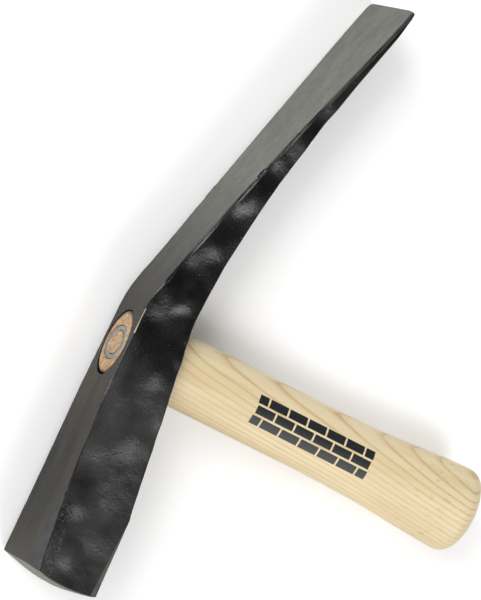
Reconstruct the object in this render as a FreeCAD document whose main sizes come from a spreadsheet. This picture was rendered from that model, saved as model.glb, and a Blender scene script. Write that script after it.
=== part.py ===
import FreeCAD, Part
import os
import Sketcher

# A paviour's hammer: a forged steel head with a crowned square striking face at one end and a
# long flat blade at the other, on a short ash handle that a steel ring wedge spreads in the eye.
#
# The hammer is drawn about the centre of its eye, on the top of the head: x runs along the head
# towards the blade, y from the handle's butt up to the top of the head, and z through the cheeks.
# Every body is then placed so that the hammer lies on its side with the origin under the middle
# of its bounding box.

# ---- driving dimensions, in millimetres ------------------------------------------------------

# The head's cross-sections: where each one stands along the head, the levels of its top and its
# underside, its width at both, and the radius of its bulging sides (none where they are straight).
HEAD_SECTIONS = [
    # name        along    top     under  top_w  under_w  side_r
    ("face",     -128.3,  -5.8,  -45.0,  43.6,  43.6,  None),
    ("neck",      -79.0,  -3.0,  -43.8,  37.4,  36.0,  None),
    ("eyerear",   -30.0,   0.0,  -36.7,  29.6,  36.0,  85),
    ("eyemid",     -2.0,   0.0,  -32.4,  29.6,  35.4,  55),
    ("eyefront",   24.0,   0.0,  -28.9,  29.6,  33.6,  70),
    ("bend",       34.0,  -1.6,  -29.6,  29.7,  31.6,  150),
    ("throat",     44.0,  -4.7,  -30.1,  29.6,  30.4,  400),
    ("root",       62.0,  -9.9,  -31.4,  29.6,  30.0,  400),
    ("shank",     101.0, -21.4,  -36.0,  33.2,  33.2,  400),
    ("blade",     142.0, -34.0,  -43.2,  38.2,  38.0,  400),
    ("flare",     184.0, -47.5,  -53.1,  45.0,  44.8,  400),
    ("edgerear",  210.0, -55.8,  -59.9,  48.4,  48.2,  400),
    ("edge",      225.0, -60.5,  -62.7,  48.4,  48.2,  400),
]

# The handle's ovals below the head: distance down from the top of the head, length, thickness.
GRIP_OVALS = [
    ("collar",   46.0, 38.8, 27.2),
    ("waist",    95.0, 38.9, 27.4),
    ("grip",    140.0, 39.1, 27.8),
    ("heel",    166.0, 40.4, 28.7),
    ("rise",    181.0, 42.2, 29.9),
    ("swell",   195.0, 44.4, 31.4),
    ("knob",    212.0, 47.2, 33.2),
    ("butt",    226.0, 48.4, 34.0),
    ("end",     239.5, 48.4, 34.0),
]

SIZES = {
    "crown_radius": 100.0,      # the striking face's dome
    "crown_reach": 60.0,        # how far from its axis it is turned
    "face_middle": -25.3,       # level of the dome's centre
    "facet_inner": 9.6,         # ground corner facet: where it starts on the top, across the head
    "facet_outer": 25.0,        # and how far out it runs
    "facet_drop": 2.4,          # how far it falls over that width, at the face
    "facet_rise": 4.0,          # height of the cutting wedge above the top
    "facet_apex": 18.4,         # where it runs out at the neck, across the head
    "under_bevel": 2.0,         # bevels on the lower edges beside the face
    "tip_round": 3.0,           # the blade's two corners
    "eye_middle": 0.5,          # the eye's centre along the head, at the top
    "grip_middle": 1.4,         # the handle's centre along the head
    "mouth_long": 37.1,         # the eye at the top of the head
    "mouth_wide": 26.0,
    "choke_deep": 12.0,         # the eye's narrowest place, and how deep it is
    "choke_long": 36.6,
    "choke_wide": 25.4,
    "oval_share": 0.36,         # an oval's end radius as a share of its thickness
    "mouth_gap": 0.45,          # room round the wood at the top of the eye
    "seat_gap": 0.05,           # room round the wood further in
    "butt_round": 11.0,
    "ring_outer": 9.5,          # the ring wedge's radii
    "ring_inner": 6.75,
    "ring_tip_outer": 8.6,
    "ring_tip_inner": 7.9,
    "wood_sink": 0.3,           # the wood's and the ring's tops lie this far under the head's top
    "ring_taper": 8.0,          # where its wedge-shaped foot starts
    "ring_foot": 13.0,          # where it ends
    "barb_deep": 0.35,          # the grooves that hold it in the wood
    "barb_start": 3.0,
    "barb_pitch": 2.0,
}

doc = FreeCAD.newDocument("hammer")
sheet = doc.addObject("Spreadsheet::Sheet", "Sizes")


def fill_sheet():
    """Put every driving dimension in the sheet, each under its own alias."""
    rows = dict(SIZES)
    for name, along, top, under, top_w, under_w, side_r in HEAD_SECTIONS:
        rows[name + "_along"] = along
        rows[name + "_top"] = top
        rows[name + "_under"] = under
        rows[name + "_top_width"] = top_w
        rows[name + "_under_width"] = under_w
        if side_r:
            rows[name + "_side_radius"] = side_r
    for name, deep, length, thick in GRIP_OVALS:
        rows[name + "_deep"] = deep
        rows[name + "_long"] = length
        rows[name + "_wide"] = thick
    for line, (alias, value) in enumerate(rows.items(), start=1):
        sheet.set("A%d" % line, alias)
        sheet.set("B%d" % line, str(value))
        sheet.setAlias("B%d" % line, alias)
    doc.recompute()


def size(alias):
    return float(sheet.get(alias))


# ---- sketch helpers --------------------------------------------------------------------------

ORIGIN = (-1, 1)      # Sketcher's names for the sketch origin and the two axes
H_AXIS = -1
V_AXIS = -2
START, END, CENTRE = 1, 2, 3


def new_body(label):
    body = doc.addObject("PartDesign::Body", label)
    body.Label = label
    return body


def new_sketch(body, name, role, offset=None):
    """A sketch on one of the body's origin planes, moved along its normal by a formula."""
    sketch = body.newObject("Sketcher::SketchObject", name)
    plane = next(f for f in body.Origin.OriginFeatures if f.Role == role)
    sketch.AttachmentSupport = [(plane, "")]
    sketch.MapMode = "FlatFace"
    if offset:
        sketch.setExpression("AttachmentOffset.Base.z", offset)
    return sketch


def bind(sketch, formula, guess, *constraint):
    """Add one dimension to a sketch at a first value, and bind it to a formula on the sheet."""
    index = sketch.addConstraint(Sketcher.Constraint(*constraint, guess))
    sketch.setExpression("Constraints[%d]" % index, formula)


def join_ends(sketch, edges, kind):
    for this, following in zip(edges, edges[1:] + edges[:1]):
        sketch.addConstraint(Sketcher.Constraint(kind, this, END, following, START))


def polygon(sketch, corners):
    """A closed outline of straight edges; each corner is a pair of formulas."""
    spots = [FreeCAD.Vector(i, i * i, 0) for i in range(len(corners))]
    ends = spots[1:] + spots[:1]
    edges = [sketch.addGeometry(Part.LineSegment(p, q)) for p, q in zip(spots, ends)]
    join_ends(sketch, edges, "Coincident")
    for edge, spot, (across, up) in zip(edges, spots, corners):
        bind(sketch, across, spot.x, "DistanceX", *ORIGIN, edge, START)
        bind(sketch, up, spot.y, "DistanceY", *ORIGIN, edge, START)


def oval(sketch, centre, length, thick):
    """Four tangent arcs: two tight ones at the ends of the oval and two flat ones between."""
    reach, half, tight = 19.0, 13.5, 9.8                    # a first shape for the solver
    middle = reach - tight
    flat = (middle ** 2 + half ** 2 - tight ** 2) / (2 * half - 2 * tight)
    turn = flat / (flat - tight)
    x, y = middle * turn, (flat - half) * (turn - 1)
    stops = [(x, -y), (reach, 0), (x, y), (0, half), (-x, y), (-reach, 0), (-x, -y), (0, -half)]
    spots = [FreeCAD.Vector(*stop, 0) for stop in stops + stops[:1]]
    arcs = [sketch.addGeometry(Part.Arc(*spots[i:i + 3])) for i in range(0, 8, 2)]
    right, front, left, back = arcs
    join_ends(sketch, arcs, "Tangent")
    sketch.addConstraint(Sketcher.Constraint("PointOnObject", right, CENTRE, H_AXIS))
    sketch.addConstraint(Sketcher.Constraint("PointOnObject", left, CENTRE, H_AXIS))
    sketch.addConstraint(Sketcher.Constraint("Equal", front, back))
    sketch.addConstraint(Sketcher.Constraint("Equal", right, left))
    end = "(%s) * Sizes.oval_share" % thick
    arm = "((%s) / 2 - %s)" % (length, end)
    side = "(%s ^ 2 + (%s) ^ 2 / 4 - (%s) ^ 2) / ((%s) - 2 * %s)" % (arm, thick, end, thick, end)
    bind(sketch, "%s + %s" % (centre, arm), middle, "DistanceX", *ORIGIN, right, CENTRE)
    bind(sketch, "%s - %s" % (centre, arm), -middle, "DistanceX", *ORIGIN, left, CENTRE)
    bind(sketch, end, tight, "Radius", right)
    bind(sketch, side, flat, "Radius", front)


def loft(body, kind, name, sketches, ruled):
    feature = body.newObject("PartDesign::" + kind, name)
    feature.Profile = sketches[0]
    feature.Sections = sketches[1:]
    feature.Ruled = ruled
    for sketch in sketches:
        sketch.Visibility = False
    doc.recompute()
    return feature


def spin(body, kind, name, sketch, axis):
    """A full turn of a sketch about one of its own axes."""
    feature = body.newObject("PartDesign::" + kind, name)
    feature.Profile = sketch
    feature.ReferenceAxis = (sketch, [axis])
    feature.Angle = 360
    doc.recompute()
    return feature


def dress(body, kind, name, wanted, formula):
    """A fillet or chamfer on the edges of the body that a test picks."""
    base = body.Tip
    edges = ["Edge%d" % i for i, edge in enumerate(base.Shape.Edges, start=1) if wanted(edge)]
    feature = body.newObject("PartDesign::" + kind, name)
    feature.Base = (base, edges)
    feature.setExpression("Radius" if kind == "Fillet" else "Size", formula)
    doc.recompute()
    return feature


def near(value, target, slack=0.05):
    return abs(value - target) < slack


# ---- the head --------------------------------------------------------------------------------

def head_section(body, name, along, top, under, top_w, under_w, side_r):
    """One cross-section: level top and underside, joined by straight or bulging sides."""
    sketch = new_sketch(body, name + "_section", "YZ_Plane", "Sizes.%s_along" % name)
    corners = [(top, -top_w / 2), (top, top_w / 2), (under, under_w / 2), (under, -under_w / 2)]
    spots = [FreeCAD.Vector(u, v, 0) for u, v in corners]
    bulge = FreeCAD.Vector(0, (top - under) ** 2 / (8 * side_r) if side_r else 0, 0)
    edges = []
    for i, out in enumerate((None, 1, None, -1)):
        this, following = spots[i], spots[(i + 1) % 4]
        if out and side_r:
            edge = Part.Arc(this, (this + following) / 2 + bulge * out, following)
        else:
            edge = Part.LineSegment(this, following)
        edges.append(sketch.addGeometry(edge))
    join_ends(sketch, edges, "Coincident")
    for edge, spot in zip(edges, spots):
        level = "top" if spot.x == top else "under"
        half = "%sSizes.%s_%s_width / 2" % ("-" if spot.y < 0 else "", name, level)
        bind(sketch, "Sizes.%s_%s" % (name, level), spot.x, "DistanceX", *ORIGIN, edge, START)
        bind(sketch, half, spot.y, "DistanceY", *ORIGIN, edge, START)
    if side_r:
        for edge in (edges[1], edges[3]):
            bind(sketch, "Sizes.%s_side_radius" % name, side_r, "Radius", edge)
    return sketch


def crown_face(body):
    """Dome the striking face: turn away what lies outside a sphere about the head's axis."""
    sketch = new_sketch(body, "crown_profile", "XY_Plane")
    sketch.setExpression("AttachmentOffset.Base.y", "Sizes.face_middle")
    apex, radius, reach = size("face_along"), size("crown_radius"), size("crown_reach")
    middle = apex + radius
    start = FreeCAD.Vector(apex, 0, 0)
    half = FreeCAD.Vector(middle - (radius ** 2 - reach ** 2 / 4) ** 0.5, -reach / 2, 0)
    rim = FreeCAD.Vector(middle - (radius ** 2 - reach ** 2) ** 0.5, -reach, 0)
    back = FreeCAD.Vector(apex - reach, -reach, 0)
    foot = FreeCAD.Vector(apex - reach, 0, 0)
    dome = sketch.addGeometry(Part.Arc(start, half, rim))
    lid = sketch.addGeometry(Part.LineSegment(rim, back))
    rear = sketch.addGeometry(Part.LineSegment(back, foot))
    axle = sketch.addGeometry(Part.LineSegment(foot, start))
    join_ends(sketch, [dome, lid, rear, axle], "Coincident")
    sketch.addConstraint(Sketcher.Constraint("Horizontal", lid))
    sketch.addConstraint(Sketcher.Constraint("Vertical", rear))
    for edge, spot in ((dome, START), (dome, CENTRE), (rear, END)):
        sketch.addConstraint(Sketcher.Constraint("PointOnObject", edge, spot, H_AXIS))
    bind(sketch, "Sizes.crown_radius", radius, "Radius", dome)
    bind(sketch, "Sizes.face_along", apex, "DistanceX", *ORIGIN, dome, START)
    bind(sketch, "Sizes.crown_reach", reach, "DistanceX", rear, END, dome, START)
    bind(sketch, "Sizes.crown_reach", reach, "DistanceY", lid, END, rear, END)
    spin(body, "Groove", "crown", sketch, "H_Axis")


def corner_facet(body):
    """The long triangle ground off one top corner beside the striking face."""
    wide = new_sketch(body, "facet_at_face", "YZ_Plane", "Sizes.face_along - 1")
    top = "Sizes.face_top"
    polygon(wide, [(top, "Sizes.facet_inner"),
                   (top + " - Sizes.facet_drop", "Sizes.facet_outer"),
                   (top + " + Sizes.facet_rise", "Sizes.facet_outer")])
    thin = new_sketch(body, "facet_at_neck", "YZ_Plane", "Sizes.neck_along")
    top = "Sizes.neck_top"
    polygon(thin, [(top, "Sizes.facet_apex"),
                   (top + " - 0.1", "Sizes.facet_apex + 1"),
                   (top + " + 1", "Sizes.facet_apex + 1")])
    loft(body, "SubtractiveLoft", "facet", [wide, thin], True)


def make_head():
    body = new_body("hammer_head")
    sections = [head_section(body, *row) for row in HEAD_SECTIONS]
    loft(body, "AdditiveLoft", "forging", sections, True)
    crown_face(body)

    neck, under = size("neck_along"), size("neck_under")
    lower = lambda edge: near(edge.BoundBox.XMax, neck) and edge.BoundBox.YMax < under + 0.1
    long_edge = lambda edge: lower(edge) and edge.BoundBox.XLength > 30
    dress(body, "Chamfer", "lower_bevels", long_edge, "Sizes.under_bevel")
    corner_facet(body)

    tip = size("edge_along")
    corner = lambda edge: near(edge.BoundBox.XMin, tip) and edge.BoundBox.ZLength < 0.5
    dress(body, "Fillet", "tip_corners", corner, "Sizes.tip_round")

    mouth = new_sketch(body, "eye_mouth", "XZ_Plane")
    oval(mouth, "Sizes.eye_middle", "Sizes.mouth_long", "Sizes.mouth_wide")
    choke = new_sketch(body, "eye_choke", "XZ_Plane", "Sizes.choke_deep")
    oval(choke, "Sizes.eye_middle", "Sizes.choke_long", "Sizes.choke_wide")
    skirt = new_sketch(body, "eye_skirt", "XZ_Plane", "Sizes.collar_deep")
    gap = " + 2 * Sizes.seat_gap"
    oval(skirt, "Sizes.grip_middle", "Sizes.collar_long" + gap, "Sizes.collar_wide" + gap)
    loft(body, "SubtractiveLoft", "eye", [mouth, choke, skirt], True)
    return body


# ---- the handle ------------------------------------------------------------------------------

def ring_outline(sketch, top, gap):
    """The ring wedge's section on one side of its axis, made larger all round by a gap."""
    polygon(sketch, [
        ("Sizes.ring_inner - %s" % gap, top),
        ("Sizes.ring_inner - %s" % gap, "-Sizes.ring_taper"),
        ("Sizes.ring_tip_inner - %s" % gap, "-Sizes.ring_foot - %s" % gap),
        ("Sizes.ring_tip_outer + %s" % gap, "-Sizes.ring_foot - %s" % gap),
        ("Sizes.ring_outer + %s" % gap, "-Sizes.ring_taper"),
        ("Sizes.ring_outer + %s" % gap, top),
    ])


def make_handle():
    """Tenon and grip in one run of ovals, a rounded butt, and the slot that the ring cuts."""
    body = new_body("handle")
    crest = new_sketch(body, "tenon_top", "XZ_Plane", "Sizes.wood_sink")
    gap = " - 2 * Sizes.mouth_gap"
    oval(crest, "Sizes.eye_middle", "Sizes.mouth_long" + gap, "Sizes.mouth_wide" + gap)
    choke = new_sketch(body, "tenon_choke", "XZ_Plane", "Sizes.choke_deep")
    gap = " - 2 * Sizes.seat_gap"
    oval(choke, "Sizes.eye_middle", "Sizes.choke_long" + gap, "Sizes.choke_wide" + gap)
    ovals = [crest, choke]
    for name, *_ in GRIP_OVALS:
        sketch = new_sketch(body, name + "_oval", "XZ_Plane", "Sizes.%s_deep" % name)
        oval(sketch, "Sizes.grip_middle", "Sizes.%s_long" % name, "Sizes.%s_wide" % name)
        ovals.append(sketch)
    loft(body, "AdditiveLoft", "shaft", ovals, True)

    end = -size("end_deep")
    dress(body, "Fillet", "butt", lambda edge: near(edge.BoundBox.YMax, end), "Sizes.butt_round")

    slot = new_sketch(body, "ring_slot_profile", "XY_Plane")
    ring_outline(slot, "1", "Sizes.seat_gap")
    spin(body, "Groove", "ring_slot", slot, "V_Axis")
    return body


# ---- the ring wedge --------------------------------------------------------------------------

def make_ring():
    """A short tube with a wedge-shaped foot and barbs turned round its outside."""
    body = new_body("ring_wedge")
    section = new_sketch(body, "ring_profile", "XY_Plane")
    ring_outline(section, "-Sizes.wood_sink", "0")
    spin(body, "Revolution", "ring", section, "V_Axis")
    for count in range(3):
        level = "-Sizes.barb_start - %d * Sizes.barb_pitch" % count
        notch = new_sketch(body, "barb_profile_%d" % count, "XY_Plane")
        polygon(notch, [("Sizes.ring_outer - Sizes.barb_deep", level),
                        ("Sizes.ring_outer + 0.1", level),
                        ("Sizes.ring_outer + 0.1", level + " - Sizes.barb_pitch / 2")])
        spin(body, "Groove", "barb_%d" % count, notch, "V_Axis")
    return body


# ---- placing, checking and writing -----------------------------------------------------------

def lay_down(body):
    """Origin under the middle of the hammer, which lies on its side."""
    body.setExpression("Placement.Base.x", "-(Sizes.face_along + Sizes.edge_along) / 2")
    body.setExpression("Placement.Base.y", "Sizes.end_deep / 2")
    body.setExpression("Placement.Base.z", "Sizes.edge_top_width / 2")


def check(bodies):
    for item in doc.Objects:
        if "Invalid" in item.State or "Error" in item.State:
            raise RuntimeError("%s did not compute: %s" % (item.Label, item.State))
    for body in bodies:
        shape = body.Shape
        if shape.isNull() or not shape.isValid() or len(shape.Solids) != 1:
            raise RuntimeError("%s is not one valid solid" % body.Label)
        box = shape.BoundBox
        print(body.Label, "volume %.1f cm3" % (shape.Volume / 1000),
              "x %.1f..%.1f" % (box.XMin, box.XMax), "y %.1f..%.1f" % (box.YMin, box.YMax),
              "z %.1f..%.1f" % (box.ZMin, box.ZMax))


fill_sheet()
pieces = [make_head(), make_handle(), make_ring()]
for piece in pieces:
    lay_down(piece)
doc.recompute()
check(pieces)
os.makedirs("parts", exist_ok=True)
for piece in pieces:
    piece.Shape.exportStep("parts/%s.step" % piece.Label)
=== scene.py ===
# %% [markdown]
# # A paviour's hammer, piece by piece
# The hammer has three pieces: a forged head with a striking face and a long flared blade, an ash
# handle wedged into the head's eye, and a steel ring driven into the handle's end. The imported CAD
# model is loaded first. It says where everything is, so each new piece is made at the bench, with
# the middle of the eye at zero, and is then carried to its place in the frame.

# %% Load the frame
import math

import bmesh
import bpy
import numpy as np
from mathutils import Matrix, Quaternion, Vector


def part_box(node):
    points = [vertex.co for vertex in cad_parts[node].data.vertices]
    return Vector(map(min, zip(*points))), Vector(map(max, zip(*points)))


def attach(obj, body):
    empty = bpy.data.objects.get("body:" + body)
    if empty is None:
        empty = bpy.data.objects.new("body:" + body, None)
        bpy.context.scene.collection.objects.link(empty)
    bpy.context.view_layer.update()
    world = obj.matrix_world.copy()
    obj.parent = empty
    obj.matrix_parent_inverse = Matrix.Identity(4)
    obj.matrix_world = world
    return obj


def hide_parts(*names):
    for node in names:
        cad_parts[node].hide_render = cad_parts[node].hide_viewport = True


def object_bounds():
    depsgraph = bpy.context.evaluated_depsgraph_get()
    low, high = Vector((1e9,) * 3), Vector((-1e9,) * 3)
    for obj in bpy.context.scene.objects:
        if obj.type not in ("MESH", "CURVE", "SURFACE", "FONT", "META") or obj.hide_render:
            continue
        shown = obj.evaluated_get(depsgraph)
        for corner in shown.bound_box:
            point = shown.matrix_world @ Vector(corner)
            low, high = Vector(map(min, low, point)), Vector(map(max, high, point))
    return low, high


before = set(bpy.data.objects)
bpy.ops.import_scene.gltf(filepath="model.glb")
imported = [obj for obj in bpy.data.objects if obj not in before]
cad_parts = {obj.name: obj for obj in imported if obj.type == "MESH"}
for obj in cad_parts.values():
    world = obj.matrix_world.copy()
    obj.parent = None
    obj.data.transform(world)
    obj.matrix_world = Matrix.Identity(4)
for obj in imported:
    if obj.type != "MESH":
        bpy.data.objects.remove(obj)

cad_low, cad_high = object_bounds()
head_low, head_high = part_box("hammer_head")
handle_low, handle_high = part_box("handle")
ring_low, ring_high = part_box("ring_wedge")
EYE = Vector(((ring_low.x + ring_high.x) / 2, head_high.y, (head_low.z + head_high.z) / 2))
MM = 0.001
TOUCH = 1e-6  # nearer than this counts as touching
print("eye at", [round(v, 4) for v in EYE], "whole size", [round(v, 4) for v in cad_high - cad_low])

# %% [markdown]
# ## Bench tools
# Operators act on whatever is selected, and the loaded CAD nodes start out selected. So every piece
# begins by deselecting everything. Four helpers do the fetching and carrying: one selects a single
# object, one selects corners, edges or faces by a test, one applies a modifier, and one takes a
# finished piece to its place.


# %% Selecting and applying
def only(piece):
    """Leaves piece as the one selected and active object."""
    bpy.ops.object.select_all(action="DESELECT")
    piece.select_set(True)
    bpy.context.view_layer.objects.active = piece


def pick(piece, kind, test):
    """In edit mode, selects the corners, edges or faces that pass a test, and says how many."""
    bpy.ops.mesh.select_mode(type=kind)
    bpy.ops.mesh.select_all(action="DESELECT")
    mesh = bmesh.from_edit_mesh(piece.data)
    parts = {"VERT": mesh.verts, "EDGE": mesh.edges, "FACE": mesh.faces}[kind]
    found = [part for part in parts if test(part)]
    for part in found:
        part.select_set(True)
    bmesh.update_edit_mesh(piece.data)
    return len(found)


def apply_modifier(piece, kind, **settings):
    """Adds one modifier, sets it up and applies it straight away."""
    only(piece)
    modifier = piece.modifiers.new(kind.title(), kind)
    for name, value in settings.items():
        setattr(modifier, name, value)
    bpy.ops.object.modifier_apply(modifier=modifier.name)


def carry_home(piece, name, node):
    """Takes a finished piece from the bench to its place, and hides the CAD node that it stands for.
    """
    only(piece)
    piece.name = name
    piece.data.name = name
    piece.location = EYE
    bpy.ops.object.transform_apply(location=True, rotation=True, scale=True)
    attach(piece, "root")
    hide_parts(node)
    piece.data.calc_loop_triangles()
    print(name, "has", len(piece.data.loop_triangles), "triangles")


# %% [markdown]
# ## The head: drawing out the bar
# A smith starts from a square bar, keeps one end thick for the striking face, and draws the other
# end out into a long thin blade that widens to its edge. The same can be done here: a cube is the
# bar, its end is pulled out section by section, and each new section is squeezed to its height and
# to its widths at the top and the underside. A sculpted blob could look as rough, but it would lose
# the flat top and the long straight ridges that make the shape.

# %% Sections of the head
# Along from the eye, top, underside, width at the top, width at the underside, and how far the
# cheeks swell on each side, all in millimetres with zero at the eye on the top of the head.
FACE_END = (head_low.x - EYE.x) / MM
BLADE_END = (head_high.x - EYE.x) / MM
NECK = -79.0
SECTIONS = np.array([
    (FACE_END, -5.2, -45.0, 43.6, 44.6, 0.0),
    (NECK, -3.0, -43.8, 37.4, 37.4, 0.0),
    (-30.0, 0.0, -36.7, 29.6, 37.0, 1.9),
    (-2.0, 0.0, -32.4, 29.6, 36.4, 2.4),
    (24.0, 0.0, -28.9, 29.6, 33.8, 1.2),
    (34.0, -1.6, -29.6, 29.7, 32.0, 0.6),
    (44.0, -4.7, -30.1, 29.6, 31.0, 0.3),
    (62.0, -9.9, -31.4, 29.6, 30.6, 0.2),
    (101.0, -21.4, -36.0, 33.2, 33.8, 0.0),
    (142.0, -34.0, -43.2, 38.2, 38.6, 0.0),
    (184.0, -47.5, -53.1, 45.0, 45.0, 0.0),
    (210.0, -55.8, -59.9, 48.4, 48.4, 0.0),
    (BLADE_END, -60.5, -62.7, 48.4, 48.4, 0.0),
]) * MM


def section_at(along):
    """Top, underside, half the top's width, half the underside's width and cheek at any place."""
    top, under, top_width, under_width, cheek = (
        np.interp(along, SECTIONS[:, 0], SECTIONS[:, column]) for column in range(1, 6))
    return top, under, top_width / 2, under_width / 2, cheek


# %% Pull the bar out
BAR = 40 * MM


def set_pair(block, pair, along, height, width):
    """Moves two corners of a section to their height and spreads them to their width."""
    mesh = bmesh.from_edit_mesh(block.data)
    mesh.verts.ensure_lookup_table()
    bpy.ops.mesh.select_all(action="DESELECT")
    corners = [mesh.verts[index] for index in pair]
    for corner in corners:
        corner.select_set(True)
    middle = (corners[0].co + corners[1].co) / 2
    spread = abs(corners[0].co.z - corners[1].co.z)
    bmesh.update_edit_mesh(block.data)
    place = Vector((along, height, 0))
    bpy.ops.transform.translate(value=place - middle)
    bpy.ops.transform.resize(value=(1, 1, width / spread), center_override=place)


def shape_section(block, last, section):
    """Shapes the four corners at the last or the first end of the block."""
    along, top, under, top_width, under_width = section[:5]
    corners = sorted(bmesh.from_edit_mesh(block.data).verts, key=lambda v: v.co.x)
    corners = sorted(corners[-4:] if last else corners[:4], key=lambda v: v.co.y)
    order = [corner.index for corner in corners]
    set_pair(block, order[2:], along, top, top_width)
    set_pair(block, order[:2], along, under, under_width)


bpy.ops.object.select_all(action="DESELECT")
bpy.ops.mesh.primitive_cube_add(size=BAR, location=(0, 0, 0))
head = bpy.context.object
bpy.ops.object.mode_set(mode="EDIT")
bpy.ops.mesh.select_mode(type="VERT")
shape_section(head, False, SECTIONS[0])
shape_section(head, True, SECTIONS[1])
for section in SECTIONS[2:]:
    last = max(v.co.x for v in bmesh.from_edit_mesh(head.data).verts)
    pick(head, "FACE", lambda f: all(v.co.x > last - TOUCH for v in f.verts))
    bpy.ops.mesh.extrude_region_move(TRANSFORM_OT_translate={"value": (section[0] - last, 0, 0)})
    bpy.ops.mesh.select_mode(type="VERT")
    shape_section(head, True, section)
print("drawn out through", len(SECTIONS), "sections")

# %% [markdown]
# ## Ground corners and rows
# Three corners beside the striking face have been ground away to long thin facets: a broad one on
# the near side of the top, and one on each side of the underside. All of them run out along their
# edge by the neck. A slanting plane cuts each of them, and fills the cut. Straight cuts across the
# head every few millimetres, and rows along it, then give the subdivision something even to work on.

# %% Grind the corners and cut the rows
# On the striking face the facet starts this far from the middle of the top edge and drops this far
# down the side. A chamfer rises this far up the side and reaches this far in from it.
FACET_INSIDE = 9.6 * MM
FACET_DROP = 2.8 * MM
FACET_END = -82.0 * MM
CHAMFER_RISE = 4.6 * MM
CHAMFER_INSIDE = 2.2 * MM
CELL = 8 * MM
ROWS = 3
MOSTLY = 0.8  # the share of an edge's length that makes it run along an axis


def grind(block, first, second, tip):
    """Cuts the bar in front of the neck along a plane through two points on the face and a tip."""
    pick(block, "FACE", lambda f: f.calc_center_median().x < NECK * MM - TOUCH)
    outward = (first - tip).cross(second - tip).normalized()
    outward *= math.copysign(1, outward.z * first.z)
    bpy.ops.mesh.bisect(plane_co=tip, plane_no=outward, use_fill=True, clear_outer=True)


face_top, face_under, face_half, face_under_half, _ = section_at(FACE_END * MM)
tip_top, _, tip_half, _, _ = section_at(FACET_END)
grind(head, Vector((FACE_END * MM, face_top, FACET_INSIDE)),
      Vector((FACE_END * MM, face_top - FACET_DROP, face_half)),
      Vector((FACET_END, tip_top, tip_half)))
_, neck_under, _, neck_half, _ = section_at(NECK * MM)
for side in (1, -1):
    grind(head, Vector((FACE_END * MM, face_under, side * (face_under_half - CHAMFER_INSIDE))),
          Vector((FACE_END * MM, face_under + CHAMFER_RISE, side * face_under_half)),
          Vector((NECK * MM, neck_under, side * neck_half)))

for start, stop in zip(SECTIONS[:-1, 0], SECTIONS[1:, 0]):
    count = max(1, round((stop - start) / CELL))
    for step in range(1, count):
        cut = start + (stop - start) * step / count
        bpy.ops.mesh.select_all(action="SELECT")
        bpy.ops.mesh.bisect(plane_co=(cut, 0, 0), plane_no=(1, 0, 0))


def runs(edge, axis):
    """True if the edge runs mostly along that axis."""
    way = edge.verts[1].co - edge.verts[0].co
    return abs(way[axis]) > MOSTLY * way.length


for axis in (1, 2):
    pick(head, "EDGE", lambda e: runs(e, axis))
    bpy.ops.mesh.subdivide(number_cuts=ROWS)
print("the block now has", len(bmesh.from_edit_mesh(head.data).faces), "faces")

# %% [markdown]
# ## Cheeks, crown and worn corners
# The cheeks swell round the eye, where the metal was pushed aside. The striking face is a shallow
# dome, so that a blow lands in its middle: ever smaller rings are drawn on it first, so that there is
# something to dome. The blade's two tips are rounded.

# %% Swell the cheeks and dome the face
# How high the dome's middle is, and how far it falls back at the top edge and at the side edges.
CROWN_LEVEL = -26.5 * MM
CROWN_TALL = 5.2 * MM
CROWN_WIDE = 1.9 * MM
CROWN_RINGS = (0.8, 0.6, 0.4, 0.2)
# A corner is on a cheek if it lies this far out and isn't on the top or the underside.
CHEEK_OUT = 0.85
CHEEK_MARGIN = 0.02

pick(head, "FACE", lambda f: all(v.co.x < FACE_END * MM + TOUCH for v in f.verts))
reach = 1.0
for ring in CROWN_RINGS:
    bpy.ops.mesh.extrude_region_move(TRANSFORM_OT_translate={"value": (0, 0, 0)})
    bpy.ops.transform.resize(value=(1, ring / reach, ring / reach),
                             center_override=(FACE_END * MM, CROWN_LEVEL, 0))
    reach = ring
mesh = bmesh.from_edit_mesh(head.data)
for corner in mesh.verts:
    along, height, across = corner.co
    top, under, top_half, under_half, cheek = section_at(along)
    share = (height - under) / (top - under)
    on_side = abs(across) > CHEEK_OUT * np.interp(share, (0, 1), (under_half, top_half))
    if on_side and CHEEK_MARGIN < share < 1 - CHEEK_MARGIN:
        corner.co.z += math.copysign(cheek * 4 * share * (1 - share), across)
    if along < FACE_END * MM + TOUCH:
        tall = ((height - CROWN_LEVEL) / (face_top - CROWN_LEVEL)) ** 2
        wide = (across / face_half) ** 2
        corner.co.x += CROWN_TALL * tall + CROWN_WIDE * wide * (1 - tall)
bmesh.update_edit_mesh(head.data)

# %% Round the tips
TIP_RADIUS = 3.2 * MM
TIP_OUT = 24 * MM  # the tips' upright edges lie further out than this

pick(head, "EDGE", lambda e: runs(e, 1) and all(v.co.x > BLADE_END * MM - TOUCH
                                                and abs(v.co.z) > TIP_OUT for v in e.verts))
bpy.ops.mesh.bevel(offset=TIP_RADIUS, segments=3, affect="EDGES")

# %% Crease what stays crisp
# Edges that turn more than this stay crisp, and the underside's two long edges are softer. Their
# corners are told by lying this close to the underside's level and to its side.
SHARP = math.radians(32)
UNDERSIDE_CREASE = 0.62
OFF_LEVEL = 0.3 * MM
OFF_SIDE = 0.4 * MM


def low_corner(corner):
    """True for a point on one of the two long edges of the underside, behind the neck."""
    _, under, _, half, _ = section_at(corner.co.x)
    on_edge = abs(corner.co.y - under) < OFF_LEVEL and abs(abs(corner.co.z) - half) < OFF_SIDE
    return on_edge and corner.co.x > NECK * MM - 10 * TOUCH


bpy.ops.mesh.select_all(action="DESELECT")
bpy.ops.mesh.select_mode(type="EDGE")
bpy.ops.mesh.edges_select_sharp(sharpness=SHARP)
bpy.ops.transform.edge_crease(value=1)
pick(head, "EDGE", lambda e: runs(e, 0) and all(low_corner(v) for v in e.verts))
bpy.ops.transform.edge_crease(value=UNDERSIDE_CREASE - 1)

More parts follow.
